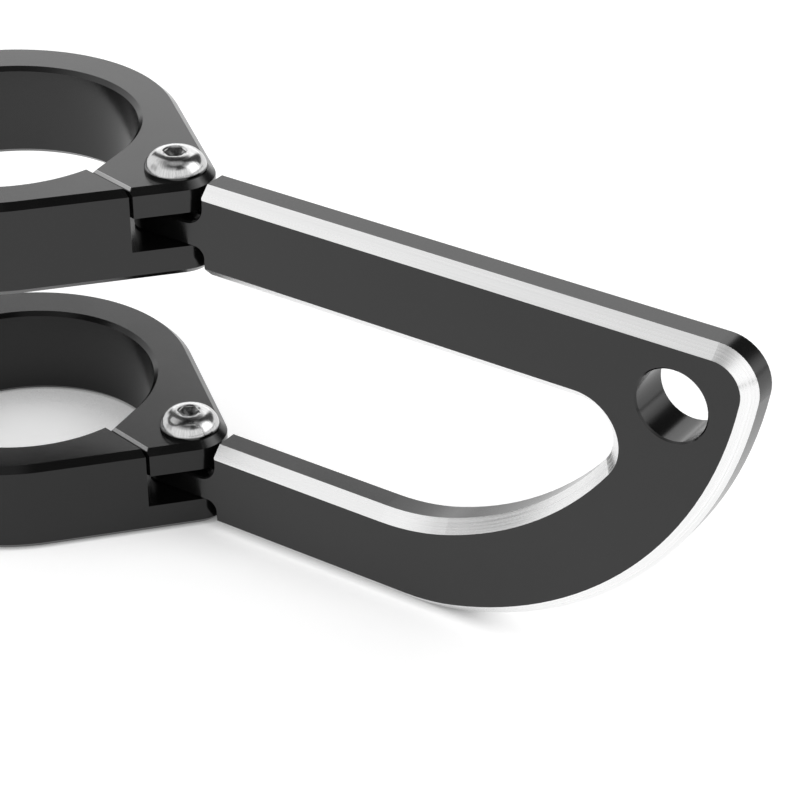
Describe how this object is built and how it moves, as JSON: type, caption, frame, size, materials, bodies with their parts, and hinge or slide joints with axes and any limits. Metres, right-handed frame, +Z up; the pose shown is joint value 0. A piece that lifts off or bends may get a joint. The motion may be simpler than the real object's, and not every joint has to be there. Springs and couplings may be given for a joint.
{
  "type": "headlight mounting bracket",
  "caption": "Headlight mounting bracket: a D-shaped plate arm hinged between split ring clamps that grip a fork tube, with a bolt hole for the lamp.",
  "frame": {"origin": "centre of the lower clamp's bore, on the fork tube's axis", "axes": "+Z up along the fork tube, +X from the fork axis towards the hinge pin line, +Y completes a right-handed frame"},
  "size_m": [0.1861, 0.067, 0.073],
  "materials": {
    "clamp_aluminium": "black anodised, satin",
    "arm_aluminium": "black anodised, satin, with the chamfers cut back to bright metal",
    "screw_steel": "polished"
  },
  "bodies": {
    "lower_clamp": {"lower_clamp_front_half": "clamp_aluminium", "lower_clamp_rear_half": "clamp_aluminium", "lower_pivot_screw": "screw_steel", "lower_closing_screw": "screw_steel"},
    "arm": {"arm_plate": "arm_aluminium"},
    "upper_clamp": {"upper_clamp_front_half": "clamp_aluminium", "upper_clamp_rear_half": "clamp_aluminium", "upper_pivot_screw": "screw_steel", "upper_closing_screw": "screw_steel"}
  },
  "joints": [
    {"name": "arm_pivot", "type": "hinge", "parent": "lower_clamp", "child": "arm", "pos_m": [0.0373, 0, -0.00035], "axis": [0, 0, 1], "range_deg": [-46, 56]},
    {"name": "upper_clamp_pivot", "type": "hinge", "parent": "arm", "child": "upper_clamp", "pos_m": [0.0373, 0, 0.0519], "axis": [0, 0, 1], "range_deg": [-56, 46]}
  ]
}
